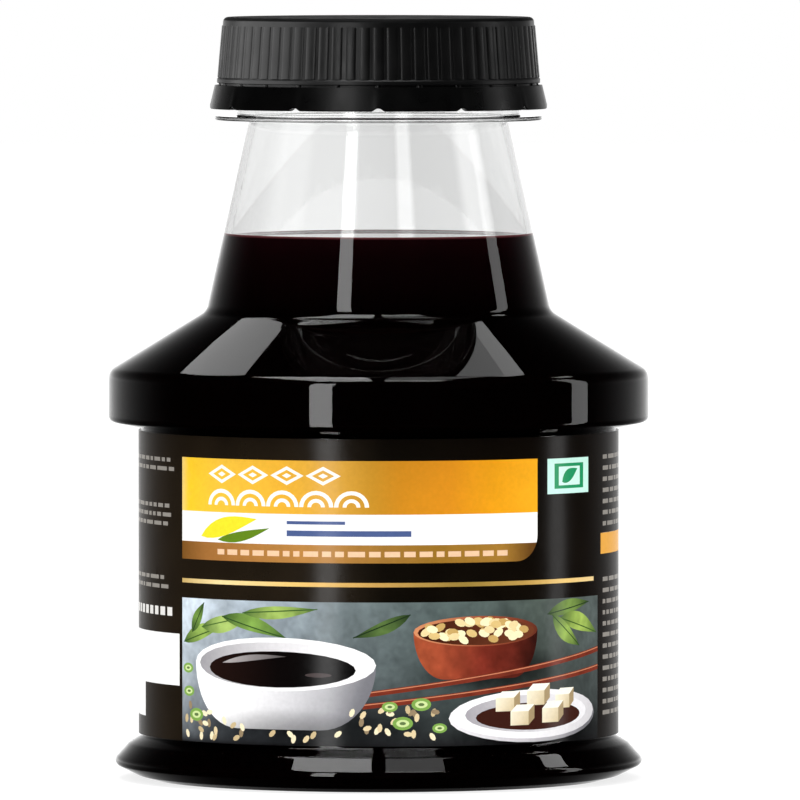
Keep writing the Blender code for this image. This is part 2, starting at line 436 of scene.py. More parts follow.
def pour_sauce():
    corners = moved_in(body_corners(), WALL - INTO_WALL)
    kept = [c for c in corners if c[1] < SAUCE_LEVEL_Z]
    low, high = kept[-1], corners[len(kept)]
    level_r = between(low, high, (SAUCE_LEVEL_Z - low[1]) / (high[1] - low[1]))[0]
    outline = rounded(kept + [(level_r, SAUCE_LEVEL_Z, 0)])
    for k in range(1, MENISCUS_STEPS + 1):
        inwards = MENISCUS_WIDTH * k / MENISCUS_STEPS
        sunk = MENISCUS_RISE * (1 - math.exp(-inwards / MENISCUS_REACH))
        outline.append((level_r - inwards, SAUCE_LEVEL_Z - sunk))
    surface_z = outline[-1][1]
    outline.append((0, surface_z))
    builder = turned(outline, BOTTLE_SIDES)
    finish_top(builder, surface_z - INTO_WALL, SURFACE_FACING)
    depth, surface = sauce_finish("sauce_depth", 0.0, 0.5), sauce_finish("sauce_surface", 0.5, 0.0)
    return new_piece("sauce_filling", builder, [depth, surface])


sauce = pour_sauce()
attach(sauce, "root")
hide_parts("soy_sauce")

# The wrap label: one strip of semi-gloss plastic film, printed on a black ground, wound once round
# the waist and glued where its ends overlap at the back. Places on it are u, the distance along the
# wrap from the middle of the front, to the right, and z. Shapes are printed in order, ground first.
LABEL_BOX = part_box("label")
LABEL_R = LABEL_BOX[1][0] / MM
LABEL_LOW_Z = LABEL_BOX[0][2] / MM
LABEL_HIGH_Z = LABEL_BOX[1][2] / MM
FILM_THICK = 0.3
OVERLAP = 5.0
OVERLAP_LIFT = 0.14
HALF_WRAP = math.pi * LABEL_R
CLIMB_START = 8.0
CLIMB_LENGTH = 2.5
CRISP_DEG = 50.0
FILM_WAVE_SIZE = 9.0
FILM_WAVE_RISE = 0.04
FILM_ROUGHNESS = (0.14, 0.24)
PRINT_GRAIN_SIZE = 0.6
PRINT_GRAIN = (0.9, 1.1)
GLOSS_SLANT = (0.4, 0.85)
FILM_GLOSS = (0.3, 0.02)
WRAP_STEP = 1.3
PRINT_STEP = 0.55
PRINT_STAGGER = (0.31, 0.17)
FILM_MERGE = 0.002
SHORTEST_WORD = 0.9
ARCH_RISE = 0.92
CORNER_STEPS = 10
LEAF_STEPS = 9
BOWL_STEPS = 12

LEFT_EDGE = -31.8
PANEL_RIGHT = 24.1
PANEL_HIGH = 45.8
BAND_HIGH = 38.4
BAND_LOW = 34.2
PANEL_LOW = 31.7
PANEL_CORNER = 3.6
PICTURE_RIGHT = 38.3
PICTURE_HIGH = 26.3
RULE_LOW = 28.4
RULE_HIGH = 29.0

prints = []


def ink(r, g, b):
    """A printed colour, from screen values 0 to 255 to linear light."""
    return tuple(((c / 255 + 0.055) / 1.055) ** 2.4 for c in (r, g, b))


def mixed(a, b, share):
    return between(a, b, max(0.0, min(1.0, share)))


def graded(stops, at):
    """The colour at a place along stops (place, colour)."""
    for (low, first), (high, second) in zip(stops, stops[1:]):
        if at <= high:
            return mixed(first, second, (at - low) / (high - low))
    return stops[-1][1]


def plain(*colour):
    tone = ink(*colour)
    return lambda u, z: tone


def along(start, end, *colours):
    """A tint that runs through colours from the point start to the point end."""
    tones = [(k / (len(colours) - 1), ink(*colour)) for k, colour in enumerate(colours)]
    span = (end[0] - start[0], end[1] - start[1])
    size = span[0] ** 2 + span[1] ** 2
    return lambda u, z: graded(tones, ((u - start[0]) * span[0] + (z - start[1]) * span[1]) / size)


def across(*stops):
    """A tint that runs through stops (u, colour) along the wrap."""
    tones = [(place, ink(*colour)) for place, colour in stops]
    return lambda u, z: graded(tones, u)


def mottled(tint, amount, size):
    """A tint whose brightness wanders."""

    def tone(u, z):
        lift = 1 + amount * noise.noise(Vector((u / size, z / size, size)))
        return tuple(c * lift for c in tint(u, z))

    return tone


def shaded(tint, centre, radii, strength):
    """A tint darkened round a centre, fading out to the edge of an oval."""

    def tone(u, z):
        away = math.hypot((u - centre[0]) / radii[0], (z - centre[1]) / radii[1])
        return mixed(tint(u, z), (0, 0, 0), strength * (1 - min(1.0, away) ** 2))

    return tone


def lay(outline, tint):
    prints.append((outline, tint))


def field(left, right, low, high, corner=0.0):
    """An oblong, its corner at the lower right rounded."""
    points = [(left, high), (left, low)]
    steps = CORNER_STEPS if corner else 0
    for k in range(steps + 1):
        turn = math.pi / 2 * k / max(1, steps)
        points.append((right - corner + corner * math.sin(turn), low + corner - corner * math.cos(turn)))
    return points + [(right, high)]


def kept_between(outline, low, high):
    """A rounded field's part between two heights."""
    points = [(u, max(low, min(high, z))) for u, z in outline]
    return [p for p, last in zip(points, points[-1:] + points[:-1]) if p != last]


def oval(u, z, half_width, half_height, turn=0.0, count=28):
    way = (math.cos(turn), math.sin(turn))
    points = []
    for k in range(count):
        part = math.tau * k / count
        points.append(shifted((u, z), way, half_width * math.cos(part), half_height * math.sin(part)))
    return points


def arch(u, z, reach, count=12):
    """A filled half oval that stands on z, as in the old wave pattern."""
    turns = [math.pi * k / count for k in range(count + 1)]
    return [(u + reach * math.cos(turn), z + reach * ARCH_RISE * math.sin(turn)) for turn in turns]


def stroke(start, end, width):
    """A straight line of even width."""
    way = heading(start, end)
    corners = ((start, -1), (end, -1), (end, 1), (start, 1))
    return [shifted(point, way, 0, side * width / 2) for point, side in corners]


def leaf(base, tip, half_width, bend):
    """A pointed leaf from base to tip, its middle bent to one side."""
    way = heading(base, tip)
    length = math.dist(base, tip)
    sides = ([], [])
    for k in range(LEAF_STEPS + 1):
        share = k / LEAF_STEPS
        spine = bend * math.sin(math.pi * share)
        wide = half_width * math.sin(math.pi * share ** 0.8)
        for side, sign in zip(sides, (1, -1)):
            side.append(shifted(base, way, length * share, spine + sign * wide))
    return sides[1] + sides[0][-2:0:-1]


def words(left, right, z, height, tint, draws, longest=3.2, gap=0.55):
    """One line of plain bars, as small print reads from a step away."""
    at = left
    while at < right - 0.8:
        end = min(right, at + draws.uniform(SHORTEST_WORD, longest))
        lay(field(at, end, z, z + height), tint)
        at = end + gap


def paragraph(left, right, slack, top, pitch, rows, height, tint, draws):
    """Lines of small print, each ending up to slack short of the right."""
    for row in range(rows):
        words(left, right - draws.uniform(0, slack), top - pitch * row, height, tint, draws)


def print_panel():
    """The name panel: orange over white over brown, with plain ornaments in place of words."""
    panel = field(LEFT_EDGE, PANEL_RIGHT, PANEL_LOW, PANEL_HIGH, PANEL_CORNER)
    strip = mottled(across(
        (LEFT_EDGE, (120, 78, 28)), (-26, (160, 106, 50)), (-10, (182, 128, 62)), (0, (160, 114, 46)),
        (8, (150, 108, 32)), (18, (163, 118, 44)), (23, (100, 64, 22)),
    ), 0.06, 2.0)
    white_band = across((LEFT_EDGE, (246, 244, 240)), (2, (240, 242, 250)), (8, (255, 255, 255)))
    orange = mottled(across(
        (LEFT_EDGE, (240, 205, 120)), (-30.4, (250, 202, 34)), (-24, (245, 193, 58)), (-14, (238, 178, 50)),
        (-6, (216, 162, 58)), (-1, (196, 140, 34)), (3, (204, 134, 20)), (10, (219, 140, 18)),
        (17, (235, 158, 8)), (PANEL_RIGHT, (250, 174, 24)),
    ), 0.05, 3.0)
    lay(panel, strip)
    lay(kept_between(panel, BAND_LOW, PANEL_HIGH), white_band)
    lay(kept_between(panel, BAND_HIGH, PANEL_HIGH), orange)
    white = plain(255, 250, 238)
    for k in range(4):
        middle = -23.6 + 5.3 * k
        lay(oval(middle, 43.7, 2.5, 1.3, count=4), white)
        lay(oval(middle, 43.7, 1.6, 0.8, count=4), orange)
        lay(oval(middle, 43.7, 0.7, 0.35, count=4), white)
    for k in range(5):
        middle = -23.7 + 5.0 * k
        for reach, tint in ((2.45, white), (1.85, orange), (1.25, white), (0.7, orange)):
            lay(arch(middle, 39.4, reach), tint)
    slate = plain(74, 92, 140)
    lay(field(-13.0, -4.6, 37.0, 37.45), slate)
    lay(field(-13.0, 4.6, 35.35, 36.15), slate)
    words(-24.4, 18.9, 32.55, 0.75, plain(236, 196, 158), random.Random(3), longest=2.4)
    green = plain(30, 150, 96)
    lay(field(26.0, 35.4, 40.8, 45.7), plain(206, 250, 236))
    lay(field(27.4, 34.0, 41.5, 45.0), green)
    lay(field(28.3, 33.1, 41.95, 44.55), plain(214, 252, 238))
    lay(leaf((29.0, 42.4), (32.5, 44.2), 0.85, 0.15), green)
    lay(leaf((-27.6, 35.0), (-17.6, 37.6), 1.25, 0.3), plain(236, 224, 40))
    lay(leaf((-24.4, 34.6), (-15.6, 36.4), 0.7, -0.3), plain(96, 132, 26))
    gold = across(
        (LEFT_EDGE, (196, 165, 100)), (-24, (240, 216, 156)), (-12, (238, 194, 112)), (0, (192, 150, 78)),
        (12, (146, 120, 50)), (22, (186, 148, 74)), (30, (238, 200, 120)), (37, (236, 206, 146)),
    )
    lay(field(LEFT_EDGE, 37.0, RULE_LOW, RULE_HIGH), gold)


def slate_tint():
    """The picture's stone ground: pale and blue at the left, nearly black at the lower right."""
    wide = across(
        (LEFT_EDGE, (216, 228, 238)), (-20, (164, 176, 186)), (-4, (112, 124, 126)), (10, (84, 98, 96)),
        (24, (72, 82, 76)), (PICTURE_RIGHT, (88, 98, 96)),
    )

    def tone(u, z):
        share = max(0.0, (z - LABEL_LOW_Z) / (PICTURE_HIGH - LABEL_LOW_Z))
        return mixed(ink(30, 30, 32), wide(u, z), share ** 0.8)

    return mottled(mottled(tone, 0.35, 2.6), 0.25, 0.7)


def print_picture():
    """A plain still life on a slate ground: two bowls, a dish of cubes, seeds, onion rings and leaves."""
    draws = random.Random(11)
    slate = slate_tint()
    slate = shaded(slate, (-11, 9.6), (20, 4.8), 0.92)
    slate = shaded(slate, (17, 17.0), (13, 3.6), 0.92)
    slate = shaded(slate, (26, 8.2), (17, 4.6), 0.95)
    lay(field(LEFT_EDGE, PICTURE_RIGHT, LABEL_LOW_Z, PICTURE_HIGH), slate)
    print_leaves(draws)
    print_wooden_bowl(draws)
    print_sticks()
    print_sauce_bowl()
    print_dish()
    print_seeds(draws)


def print_leaves(draws):
    for base, tip, half_width, bend, low, high in (
        ((-31.4, 20.2), (-23.5, 22.6), 1.1, 0.4, (52, 84, 34), (150, 182, 86)),
        ((-27.5, 22.4), (-18.5, 24.2), 1.2, -0.3, (70, 104, 44), (176, 204, 110)),
        ((-23.6, 24.0), (-13.0, 21.2), 1.1, 0.5, (46, 78, 34), (128, 166, 74)),
        ((-20.0, 24.6), (-8.5, 25.3), 0.9, -0.2, (58, 92, 40), (164, 192, 96)),
        ((-29.5, 21.6), (-27.0, 25.8), 0.9, 0.1, (40, 66, 30), (112, 148, 66)),
        ((26.0, 24.2), (35.5, 25.6), 1.0, 0.3, (38, 62, 30), (122, 152, 72)),
        ((28.5, 23.6), (37.8, 21.2), 1.3, 0.5, (60, 92, 36), (168, 196, 92)),
        ((27.0, 24.0), (33.0, 19.6), 1.2, -0.4, (48, 78, 34), (150, 180, 84)),
        ((4.5, 24.6), (-3.5, 21.4), 0.9, 0.3, (30, 50, 26), (88, 116, 58)),
    ):
        lay(leaf(base, tip, half_width, bend), mottled(along(base, tip, low, high, low), 0.3, 0.9))
        lay(stroke(base, tip, 0.16), plain(*low))


def print_bowl(middle, rim_z, half_width, rim_height, foot_z, foot_half, outside, rim, inside):
    """A bowl seen from a little above: its outside below the rim, the rim, and the hollow."""
    side = []
    for k in range(BOWL_STEPS + 1):
        turn = math.pi / 2 * k / BOWL_STEPS
        x = foot_half + (half_width - foot_half) * math.cos(turn)
        side.append((x, rim_z + (foot_z - rim_z) * math.sin(turn)))
    outline = [(middle + x, z) for x, z in side] + [(middle - x, z) for x, z in reversed(side)]
    lay(outline, outside)
    lay(oval(middle, rim_z, half_width, rim_height), rim)
    lay(oval(middle, rim_z - 0.12, half_width * 0.94, rim_height * 0.86), inside)


def print_wooden_bowl(draws):
    """A dark wooden bowl, heaped with seeds."""
    middle, rim_z = 14.5, 22.2
    wood = along((6, 20), (24, 18), (168, 78, 46), (122, 42, 28), (44, 14, 10))
    wood = mottled(mottled(wood, 0.35, 1.6), 0.2, 0.4)
    rim = along((5, 22), (25, 22), (214, 140, 96), (156, 76, 48), (92, 40, 26))
    hollow = along((6, 22), (23, 22), (60, 22, 12), (110, 56, 32))
    print_bowl(middle, rim_z, 9.6, 2.1, 15.6, 5.2, wood, rim, hollow)
    for _ in range(46):
        turn, away = draws.uniform(0, math.tau), math.sqrt(draws.random())
        u, z = middle + 8.2 * away * math.cos(turn), 22.3 + 1.35 * away * math.sin(turn) + 0.8 * (1 - away)
        seed = oval(u, z, 0.85, 0.52, draws.uniform(-0.6, 0.6), 10)
        tone = draws.choice([(250, 236, 190), (238, 214, 158), (222, 190, 122), (200, 164, 96)])
        lay(seed, plain(*tone))


def print_sticks():
    """A pair of wooden sticks, each with a light upper edge."""
    wood = mottled(plain(120, 46, 30), 0.3, 1.4)
    for start, end in (((-3.0, 13.4), (38.3, 18.9)), ((-2.2, 11.9), (38.3, 16.4))):
        lay(stroke(start, end, 0.75), wood)
        edge = [(u, z + 0.2) for u, z in (start, end)]
        lay(stroke(*edge, 0.14), plain(206, 128, 92))


def print_sauce_bowl():
    glaze = along((-27, 16.5), (-4, 8.5), (255, 255, 255), (244, 243, 244), (206, 205, 208), (120, 120, 126))
    glaze = shaded(glaze, (-13, 7.6), (15, 4), 0.6)
    hollow = along((-28, 20), (0, 16), (150, 148, 152), (222, 220, 222), (255, 255, 255))
    print_bowl(-14.5, 17.6, 14.2, 3.7, 8.6, 6.4, glaze, plain(252, 252, 252), hollow)
    lay(oval(-14.5, 16.9, 11.4, 2.5), along((-26, 17), (-3, 17), (34, 18, 14), (10, 5, 5), (4, 3, 3)))
    shine = along((-24, 18), (-12, 18), (176, 170, 170), (52, 44, 44))
    lay(leaf((-23.5, 17.6), (-13.0, 18.7), 0.42, 0.3), shine)
    lay(oval(-8.4, 16.2, 1.9, 0.3), plain(70, 60, 60))


def print_dish():
    """An oval dish with cream cubes, each drawn as its front, right side and top."""
    middle = 23.5
    for z, half_width, half_height, start, end, colours in (
        (10.2, 13.6, 3.6, (12, 13), (34, 7), ((240, 238, 240), (206, 203, 207), (118, 117, 122))),
        (10.5, 13.3, 3.4, (10, 12), (37, 9), ((255, 255, 255), (250, 248, 250), (214, 211, 214))),
        (10.6, 11.2, 2.6, (12, 12), (36, 9), ((164, 160, 166), (222, 219, 222), (250, 248, 250))),
    ):
        lay(oval(middle, z, half_width, half_height), along(start, end, *colours))
    lay(oval(middle, 10.2, 9.6, 1.9), plain(62, 28, 20))
    for left, low, size in (
        (17.0, 11.0, 3.0), (22.2, 11.7, 3.2), (27.6, 11.1, 3.0), (19.4, 9.0, 3.1), (25.0, 9.2, 3.2),
    ):
        right, top = left + size, low + size * 0.62
        far, rise = right + size * 0.34, size * 0.3
        front = along((left, top), (right, low), (250, 240, 214), (214, 194, 152))
        lay([(left, low), (right, low), (right, top), (left, top)], front)
        lay([(right, low), (far, low + rise), (far, top + rise), (right, top)], plain(168, 146, 108))
        lay([(left, top), (right, top), (far, top + rise), (far - size, top + rise)], plain(255, 252, 236))


def print_seeds(draws):
    """Cream seeds strewn at the lower left, and cut onion rings beside the bowl."""
    for _ in range(64):
        u, z = draws.uniform(-31.0, 8.0), draws.uniform(7.2, 11.6)
        if math.hypot((u + 14.5) / 10.5, (z - 12.5) / 4.4) < 1:
            continue
        tone = draws.choice([(246, 232, 196), (228, 208, 164), (204, 182, 138), (150, 130, 100)])
        lay(oval(u, z, 0.62, 0.36, draws.uniform(0, math.pi), 8), plain(*tone))
    for u, z in (
        (-30.2, 13.4), (-28.6, 10.2), (-30.4, 16.6), (3.4, 9.6), (6.0, 12.2), (8.6, 8.9), (1.6, 11.9),
    ):
        size = draws.uniform(0.8, 1.15)
        lay(oval(u, z, size * 1.25, size * 0.8, count=16), plain(126, 168, 78))
        lay(oval(u, z, size * 0.8, size * 0.45, count=14), plain(206, 226, 156))
        lay(oval(u, z, size * 0.4, size * 0.2, count=10), plain(96, 120, 70))


def print_sides():
    """Small print, a table and a striped field round the sides and back, all as plain bars."""
    draws = random.Random(7)
    grey = plain(142, 137, 130)
    for top, rows in ((45.0, 2), (38.6, 3), (28.6, 2)):
        paragraph(-53.0, -33.6, 4, top, 1.25, rows, 0.55, grey, draws)
    words(-50.0, -34.4, 23.6, 1.2, plain(226, 224, 220), draws, longest=1.6, gap=0.7)
    lay(field(-76.0, -32.5, 14.0, 21.2), plain(250, 250, 250))
    lay(field(-76.0, -44.2, 9.2, 21.2), plain(250, 250, 250))
    at = -73.5
    while at < -55.5:
        wide = draws.choice([0.3, 0.3, 0.55, 0.8])
        lay(field(at, at + wide, 10.4, 20.0), plain(12, 12, 12))
        at += wide + draws.choice([0.35, 0.35, 0.6, 0.9])
    paragraph(-76.0, -56.0, 5, 44.6, 1.5, 7, 0.55, grey, draws)
    paragraph(-76.0, -57.0, 7, 31.6, 1.5, 5, 0.55, grey, draws)
    paragraph(40.2, 58.6, 4, 45.2, 1.55, 8, 0.6, grey, draws)
    paragraph(40.2, 58.6, 4, 28.15, 1.55, 13, 0.6, grey, draws)
    orange = plain(236, 170, 66)
    lay(field(39.4, 60.0, 32.0, 34.9), orange)
    frame_tint, dark = plain(206, 202, 196), plain(13, 9, 6)
    left, right, low, high = 66.0, 99.0, 9.0, 40.0
    lay(field(left, right, low, high), frame_tint)
    lay(field(left + 0.35, right - 0.35, low + 0.35, high - 0.35), dark)
    lay(field(left, right, 42.0, 45.4), orange)
    lay(field(left + 7, right - 7, 43.3, 44.1), plain(60, 36, 10))
    rows = 12
    pitch = (high - low) / rows
    for row in range(rows):
        z = low + pitch * row
        if row:
            lay(field(left, right, z - 0.1, z + 0.1), frame_tint)
        words(left + 1.4, left + 14 - draws.uniform(0, 4), z + pitch * 0.36, 0.7, grey, draws)
        words(right - 9.5 + draws.uniform(0, 2), right - 1.4, z + pitch * 0.36, 0.7, grey, draws)
    lay(field(right - 11.5, right - 11.2, low, high), frame_tint)
    paragraph(-103.0, -81.0, 6, 44.8, 1.62, 22, 0.55, grey, draws)


def signed_area(outline):
    return sum(a[0] * b[1] - b[0] * a[1] for a, b in zip(outline, outline[1:] + outline[:1])) / 2


def split_edges(outline, step):
    """The same closed outline, with points along its long sides."""
    points = []
    for a, b in zip(outline, outline[1:] + outline[:1]):
        count = max(1, math.ceil(math.dist(a, b) / step))
        points += [between(a, b, k / count) for k in range(count)]
    return points


def printed_mesh():
    """Cuts the flat film along every printed shape, colours its corners, and winds it up."""
    points, outlines = [], []
    for outline, tint in prints:
        ring = split_edges(outline, WRAP_STEP)
        if signed_area(ring) < 0:
            ring.reverse()
        outlines.append(list(range(len(points), len(points) + len(ring))))
        points += ring
    low, high = LABEL_LOW_Z + WRAP_STEP / 3, LABEL_HIGH_Z - WRAP_STEP / 3
    for left, right, bottom, top, step in (
        (-HALF_WRAP, HALF_WRAP + OVERLAP, low, high, WRAP_STEP),
        (LEFT_EDGE, PICTURE_RIGHT, low, PICTURE_HIGH, PRINT_STEP),
    ):
        for i in range(1, int((right - left) / step)):
            for k in range(int((top - bottom) / step)):
                u = left + (i + PRINT_STAGGER[0] * (k % 2)) * step
                points.append((u, bottom + (k + PRINT_STAGGER[1] * (i % 2)) * step))
    # 1 asks for triangles inside the shapes alone, and True for the shapes that each lies in
    cut = geometry.delaunay_2d_cdt([Vector(p) for p in points], [], outlines, 1, FILM_MERGE, True)
    flat, faces, owners = cut[0], cut[2], cut[5]
    mesh = bpy.data.meshes.new("wrap_label")
    mesh.from_pydata([wound(p.x, p.y) for p in flat], [], faces)
    colours = mesh.color_attributes.new("print", "FLOAT_COLOR", "CORNER")
    values = []
    for face, owner in zip(faces, owners):
        tint = prints[max(owner)][1]
        for corner in face:
            values += [*tint(flat[corner].x, flat[corner].y), 1.0]
    colours.data.foreach_set("color", values)
    return mesh


def wound(u, z):
    """A point of the flat film on the wound label, in metres; the strip's right end lies over its left."""
    from_end = HALF_WRAP + OVERLAP - u
    over = max(0.0, min(1.0, (CLIMB_START - from_end) / CLIMB_LENGTH))
    lift = OVERLAP_LIFT * over ** 2 * (3 - 2 * over)
    r = LABEL_R - OVERLAP_LIFT + lift
    return (r * math.sin(u / LABEL_R) * MM, -r * math.cos(u / LABEL_R) * MM, z * MM)


def printed_film():
    """Printed film: the print's own colours with a fine grain, slow waves, and a sheen seen straight on."""
    material, tree, shader = new_finish("printed_film")
    printed = add_node(tree, "ShaderNodeAttribute", attribute_name="print")
    uneven = uneven_surface(tree, FILM_WAVE_SIZE, PRINT_GRAIN_SIZE)
    grain = spread(tree, (0.0, 1.0), PRINT_GRAIN)
    dotted = add_node(tree, "ShaderNodeMix", {"Factor": 1.0}, data_type="RGBA", blend_type="MULTIPLY")
    rough = spread(tree, (0.0, 1.0), FILM_ROUGHNESS)
    bump = add_node(tree, "ShaderNodeBump", {"Distance": FILM_WAVE_RISE * MM})
    aslant = add_node(tree, "ShaderNodeLayerWeight", {"Blend": 0.5})
    gloss = spread(tree, GLOSS_SLANT, FILM_GLOSS)
    # The mix node's colour sockets are inputs 6 and 7 and output 2
    wire(
        tree, (aslant, "Facing", gloss, "Value"), (gloss, 0, shader, "Specular IOR Level"),
        (uneven, "Scuff", grain, "Value"), (printed, "Color", dotted, 6), (grain, 0, dotted, 7),
        (dotted, 2, shader, "Base Color"), (uneven, "Scuff", rough, "Value"),
        (rough, 0, shader, "Roughness"), (uneven, "Wave", bump, "Height"), (bump, 0, shader, "Normal"),
    )
    return material


def made_plain(piece):
    """Puts the result of a piece's modifiers in the place of its mesh."""
    evaluated = piece.evaluated_get(bpy.context.evaluated_depsgraph_get())
    piece.data = bpy.data.meshes.new_from_object(evaluated)
    piece.modifiers.clear()
    shade(piece.data, CRISP_DEG)
    return piece


def wrap_label():
    # The black ground is print; its lighter, browner tone over the left of the wrap, up to just left of the
    # front's middle, is painted light from the left
    ground = across(
        (-104, (16, 11, 6)), (-56, (30, 22, 12)), (-6, (31, 24, 15)), (1, (13, 9, 3)), (38, (14, 8, 2)),
        (60, (22, 15, 9)),
    )
    lay(field(-HALF_WRAP, HALF_WRAP + OVERLAP, LABEL_LOW_Z, LABEL_HIGH_Z), mottled(ground, 0.3, 5.0))
    print_panel()
    print_picture()
    print_sides()
    mesh = printed_mesh()
    mesh.materials.append(printed_film())
    strip = new_object("wrap_label", mesh)
    thickness = strip.modifiers.new("film", "SOLIDIFY")
    thickness.thickness = FILM_THICK * MM
    thickness.offset = -1.0
    return made_plain(strip)


label = wrap_label()
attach(label, "root")
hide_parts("label")
# The foot and the ring show the studio's lights in the photograph, and not the label next to them
label.visible_glossy = False

# The screw cap, moulded from satin black plastic: a flat top with a soft edge, a skirt with shallow
# upright ribs for grip, and a plain bead under them. The tamper band hangs from its rim on thin
# bridges and locks under the bottle's collar; its lower edge is notched.
CAP_SIDES = 240
CAP_TOP_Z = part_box("screw_cap")[1][2] / MM
BAND_LOW_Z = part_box("screw_cap")[0][2] / MM
CAP_TOP_R = 21.8
CAP_SKIRT_R = 22.6
CAP_RIM_Z = 97.3
CAP_TOP_THICK = 1.4
CAP_BORE_R = 20.6
CAP_EDGE_R = 0.7
CAP_TOP_FACING = 0.35
CAP_FILLET = 0.15
BORE_FILLET = 0.3
RIB_COUNT = 72
RIB_RISE = 0.11
RIB_WIDTH = 1.5
RIB_STEPS = 14
RIB_SIDES = 14
RIB_TAPER = 0.06
RIB_END_SIZE = 0.35
RIB_HIGH_Z = 105.3
RIB_LOW_Z = 98.1
RIB_RUN_OUT = 0.25
GROOVE_FILLET = 0.1
SLIT_HEIGHT = 0.3
SLIT_DEPTH = 0.5
WEB_HEIGHT = 0.8
BAND_TOP_R = 22.9
BAND_LOW_R = 23.6
BAND_THICK = 1.2
BAND_FILLET = 0.2
BAND_BORE_FILLET = 0.1
NOTCH_COUNT = 12
NOTCH_HEIGHT = 0.45
NOTCH_HALF_DEG = 1.9
BRIDGE_COUNT = 24
BRIDGE_WIDTH = 0.9
BRIDGE_RISE = 1.0
BRIDGE_SINK = 0.1
BRIDGE_R = (CAP_BORE_R + CAP_SKIRT_R) / 2 + 0.3
GATE_R = 1.3
GATE_DEPTH = 0.25
GATE_SLOPE = 0.3
BLACK_TONE = 0.0015
# Painted shade: the tamper band's plastic is made darker than the cap's
BAND_SHADE_TONE = 0.0005
TONE_BLUE = 1.08
SPARK_SIZE = 0.2
SPARK_RISE = 0.006
HANDLING_SIZE = 3.0
HANDLED_SPAN = (0.35, 0.7)


def skirt_radius(z):
    """The cap's radius over its ribs at height z: it widens a little towards its rim."""
    return CAP_TOP_R + (CAP_SKIRT_R - CAP_TOP_R) * (CAP_TOP_Z - z) / (CAP_TOP_Z - CAP_RIM_Z)


def cap_plastic(name, roughness, specular=0.5, tone=BLACK_TONE):
    """Satin black plastic with a fine spark-cut texture and light handling scuffs."""
    material, tree, shader = new_finish(name, {
        "Base Color": (tone, tone, tone * TONE_BLUE, 1), "Specular IOR Level": specular,
    })
    uneven = uneven_surface(tree, SPARK_SIZE, HANDLING_SIZE)
    rough = spread(tree, HANDLED_SPAN, roughness)
    bump = add_node(tree, "ShaderNodeBump", {"Distance": SPARK_RISE * MM})
    wire(
        tree, (uneven, "Scuff", rough, "Value"), (rough, 0, shader, "Roughness"),
        (uneven, "Wave", bump, "Height"), (bump, 0, shader, "Normal"),
    )
    return material


def mould_cap(finish, top_finish):
    slit_r = CAP_SKIRT_R - SLIT_DEPTH
    ceiling_z = CAP_TOP_Z - CAP_TOP_THICK
    outline = rounded([
        (0, CAP_TOP_Z - GATE_DEPTH, 0),
        (GATE_R - GATE_SLOPE, CAP_TOP_Z - GATE_DEPTH, CAP_FILLET),
        (GATE_R, CAP_TOP_Z, CAP_FILLET),
        (skirt_radius(CAP_TOP_Z) - RIB_RISE, CAP_TOP_Z, CAP_EDGE_R),
        (skirt_radius(RIB_LOW_Z) - RIB_RISE, RIB_LOW_Z, GROOVE_FILLET),
        (CAP_SKIRT_R, RIB_LOW_Z - RIB_RUN_OUT, CAP_FILLET),
        (CAP_SKIRT_R, CAP_RIM_Z, CAP_FILLET),
        (slit_r, CAP_RIM_Z, 0),
        (slit_r, CAP_RIM_Z - WEB_HEIGHT, 0),
        (CAP_BORE_R, CAP_RIM_Z - WEB_HEIGHT, 0),
        (CAP_BORE_R, ceiling_z, BORE_FILLET),
        (0, ceiling_z, 0),
    ])
    builder = turned(outline, CAP_SIDES)
    finish_top(builder, ceiling_z, CAP_TOP_FACING)
    return new_piece("cap_shell", builder, [finish, top_finish])


